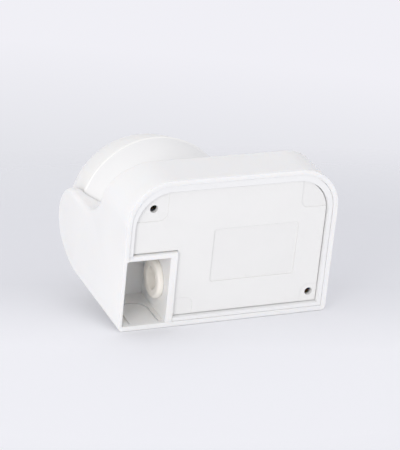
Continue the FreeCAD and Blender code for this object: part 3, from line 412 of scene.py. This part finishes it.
def sweep_lip(bm, side):
    """the lip over the head, or with side -1 under it, its ends running out into the shell"""
    outline = softened(LIP_OUTLINE)
    step = (LIP_LAST - LIP_FIRST) / LIP_STEPS
    rings = []
    for n in range(LIP_STEPS + 1):
        angle = math.radians(side * (LIP_FIRST + step * n))
        share = min(1.0, min(n, LIP_STEPS - n) * step / LIP_TAPER)
        low = LIP_SINK * (1.0 - share) ** 2
        rings.append([bm.verts.new(head_point(y, r - low, angle)) for y, r in outline])
    for one, two in zip(rings, rings[1:]):
        skin(bm, one, two)
    bm.faces.new(rings[0])
    bm.faces.new(rings[-1])


def make_lip():
    bm = bmesh.new()
    sweep_lip(bm, 1)
    sweep_lip(bm, -1)
    finished("shell_lip", bm, "lip", "head")


# plain raised marks round the three knobs, over each knob's range, the middle one to the front

MARKS = 11
MAIN_MARK_EVERY = 5
MARK_NEAR = 6.1
MARK_FAR = 6.8
MAIN_MARK_FAR = 7.1
MARK_WIDTH = 0.38
MARK_ROOT = 0.1
MARK_RISE = 0.14
MARK_DRAFT = 0.05
MARK_MIDDLE = 90.0
BAR_SIDES = ((0, 1, 2, 3), (7, 6, 5, 4), (0, 4, 5, 1), (1, 5, 6, 2), (2, 6, 7, 3), (3, 7, 4, 0))


def add_mark(bm, centre, angle, far):
    """short raised bar that points away from a knob's centre, rooted in the underside"""
    along = Vector((math.cos(angle), math.sin(angle), 0.0))
    across = Vector((-along.y, along.x, 0.0))
    corners = []
    for height, draft in ((MARK_ROOT, 0.0), (-MARK_RISE, MARK_DRAFT)):
        near_end = MARK_NEAR + draft
        far_end = far - draft
        for u, v in ((near_end, -1), (far_end, -1), (far_end, 1), (near_end, 1)):
            spot = along * u + across * v * (MARK_WIDTH / 2 - draft) + Vector((0.0, 0.0, height))
            corners.append(bm.verts.new(centre + spot * MM))
    for side in BAR_SIDES:
        bm.faces.new([corners[k] for k in side])


def make_dial_marks():
    bm = bmesh.new()
    for adjuster in ADJUSTERS:
        x, y = adjuster["pos_m"][:2]
        first, last = adjuster["range_deg"]
        for n in range(MARKS):
            angle = math.radians(MARK_MIDDLE + first + (last - first) * n / (MARKS - 1))
            far = MARK_FAR if n % MAIN_MARK_EVERY else MAIN_MARK_FAR
            add_mark(bm, Vector((x, y, UNDERSIDE)), angle, far)
    finished("dial_marks", bm, "white", "housing_body")


# floor: the detector rests on its lower rear edge and on the lip of the head, so the floor leans

LIP_REACH = 41.9 * MM
FLOOR_RADIUS = 0.5
FLOOR_CORNERS = 96
FLOOR_OUT = 45.0 * MM
FLOOR_GAP = 0.2 * MM
FLOOR_FADE = (0.24, 0.46)
FLOOR_TOWARD = (0.5, 1.0, 0.0)
FLOOR_FAR = -0.04
FLOOR_NEAR = 0.10
# floor tones: a painted shadow away from the camera and to one side, painted light toward it
FLOOR_SHADOW_TONE = (0.735, 0.74, 0.77)
FLOOR_LIT_TONE = (0.87, 0.873, 0.90)
FLOOR_ROUGH = 0.75
FLOOR_SHINE = 0.1
FLOOR_GLOW = 0.09
GLOW_COLOUR = (1.0, 1.0, 1.0, 1.0)


def paint_floor():
    """matt, paler on the camera's side and darker away from it and to one side, a painted fall-off of light and a
    painted shadow; fading out far away and clear from below
    """
    mat, tree, shader = new_material("studio_floor")
    place = object_place(tree)
    toward = vector_math(tree, "DOT_PRODUCT", place)
    toward.inputs[1].default_value = FLOOR_TOWARD
    # painted light and shade: paler toward the camera, darker away from it and to one side
    near = ramp(tree, toward.outputs["Value"], FLOOR_FAR, FLOOR_NEAR)
    tree.links.new(mix_colour(tree, near, FLOOR_SHADOW_TONE, FLOOR_LIT_TONE), shader.inputs["Base Color"])
    shader.inputs["Roughness"].default_value = FLOOR_ROUGH
    shader.inputs["Specular IOR Level"].default_value = FLOOR_SHINE
    shader.inputs["Emission Color"].default_value = GLOW_COLOUR
    shader.inputs["Emission Strength"].default_value = FLOOR_GLOW
    fade = ramp(tree, vector_math(tree, "LENGTH", place).outputs["Value"], *FLOOR_FADE)
    below = tree.nodes.new("ShaderNodeNewGeometry").outputs["Backfacing"]
    clear = tree.nodes.new("ShaderNodeBsdfTransparent")
    blend = tree.nodes.new("ShaderNodeMixShader")
    tree.links.new(combine(tree, "MAXIMUM", fade, below), blend.inputs[0])
    tree.links.new(shader.outputs["BSDF"], blend.inputs[1])
    tree.links.new(clear.outputs[0], blend.inputs[2])
    out = next(node for node in tree.nodes if node.type == "OUTPUT_MATERIAL")
    tree.links.new(blend.outputs[0], out.inputs["Surface"])
    return mat


def floor_up():
    """upward direction of a floor through the rear edge, as far from the ball's centre as the lip"""
    rise = BALL.z - UNDERSIDE
    tilt = math.asin(LIP_REACH / math.hypot(BALL.y, rise)) - math.atan2(rise, BALL.y)
    return Vector((0.0, math.sin(tilt), math.cos(tilt)))


def make_floor():
    up = floor_up()
    bpy.ops.mesh.primitive_circle_add(vertices=FLOOR_CORNERS, radius=FLOOR_RADIUS, fill_type="NGON")
    floor = bpy.context.object
    floor.name = "studio_floor"
    floor.rotation_mode = "QUATERNION"
    floor.rotation_quaternion = up.to_track_quat("Z", "Y")
    floor.location = Vector((0.0, FLOOR_OUT, UNDERSIDE)) - up * (FLOOR_OUT * up.y + FLOOR_GAP)
    floor.data.materials.append(paint_floor())


# lights and surroundings

LIGHT_AIM = Vector((0.0, 0.04, 0.03))
LIGHT_SIZE = 0.8
KEY_PLACE = Vector((-1.60, -1.53, 0.84))
KEY_POWER = 16.0
KEY_COLOUR = (1.0, 0.985, 0.965)
BACK_PLACE = Vector((0.1, 0.9, 0.8))
BACK_POWER = 0.2
BACK_COLOUR = (1.0, 1.0, 1.0)
WORLD_LOW = (0.768, 0.773, 0.815)
WORLD_HIGH = (0.875, 0.870, 0.920)
WORLD_OVER = (0.82, 0.82, 0.85)
LOW_TO_HIGH = (-0.41, -0.365)
HIGH_TO_OVER = (-0.3, 0.05)


def area_light(name, place, power, colour):
    data = bpy.data.lights.new(name, "AREA")
    data.shape = "DISK"
    data.size = LIGHT_SIZE
    data.energy = power
    data.color = colour
    lamp = bpy.data.objects.new(name, data)
    lamp.location = place
    lamp.rotation_mode = "QUATERNION"
    lamp.rotation_quaternion = (LIGHT_AIM - place).to_track_quat("-Z", "Y")
    bpy.context.collection.objects.link(lamp)


def paint_world():
    """even studio white, a little darker low down behind the part and overhead"""
    world = bpy.data.worlds.new("studio")
    world.use_nodes = True
    tree = world.node_tree
    split = tree.nodes.new("ShaderNodeSeparateXYZ")
    tree.links.new(tree.nodes.new("ShaderNodeTexCoord").outputs["Generated"], split.inputs[0])
    height = split.outputs["Z"]
    tone = mix_colour(tree, ramp(tree, height, *LOW_TO_HIGH), WORLD_LOW, WORLD_HIGH)
    tone = mix_colour(tree, ramp(tree, height, *HIGH_TO_OVER), tone, WORLD_OVER)
    tree.links.new(tone, tree.nodes["Background"].inputs["Color"])
    return world


# camera at the photograph's viewing angle; its turn is a quaternion, w first

CAMERA_PLACE = (-0.4423, -0.9153, 0.53345)
CAMERA_TURN = (0.834101, 0.514559, -0.141786, -0.139286)
CAMERA_LENS = 188.0
CAMERA_SENSOR = 36.0
CAMERA_NEAR = 0.05
CAMERA_FAR = 20.0


def make_camera():
    data = bpy.data.cameras.new("camera")
    data.lens = CAMERA_LENS
    data.sensor_width = CAMERA_SENSOR
    data.clip_start = CAMERA_NEAR
    data.clip_end = CAMERA_FAR
    camera = bpy.data.objects.new("camera", data)
    camera.location = CAMERA_PLACE
    camera.rotation_mode = "QUATERNION"
    camera.rotation_quaternion = CAMERA_TURN
    bpy.context.collection.objects.link(camera)
    return camera


make_grommet()
make_lip()
make_dial_marks()
make_floor()
area_light("key", KEY_PLACE, KEY_POWER, KEY_COLOUR)
area_light("back", BACK_PLACE, BACK_POWER, BACK_COLOUR)
bpy.context.scene.world = paint_world()
bpy.context.scene.view_settings.view_transform = "Standard"
bpy.context.scene.camera = make_camera()
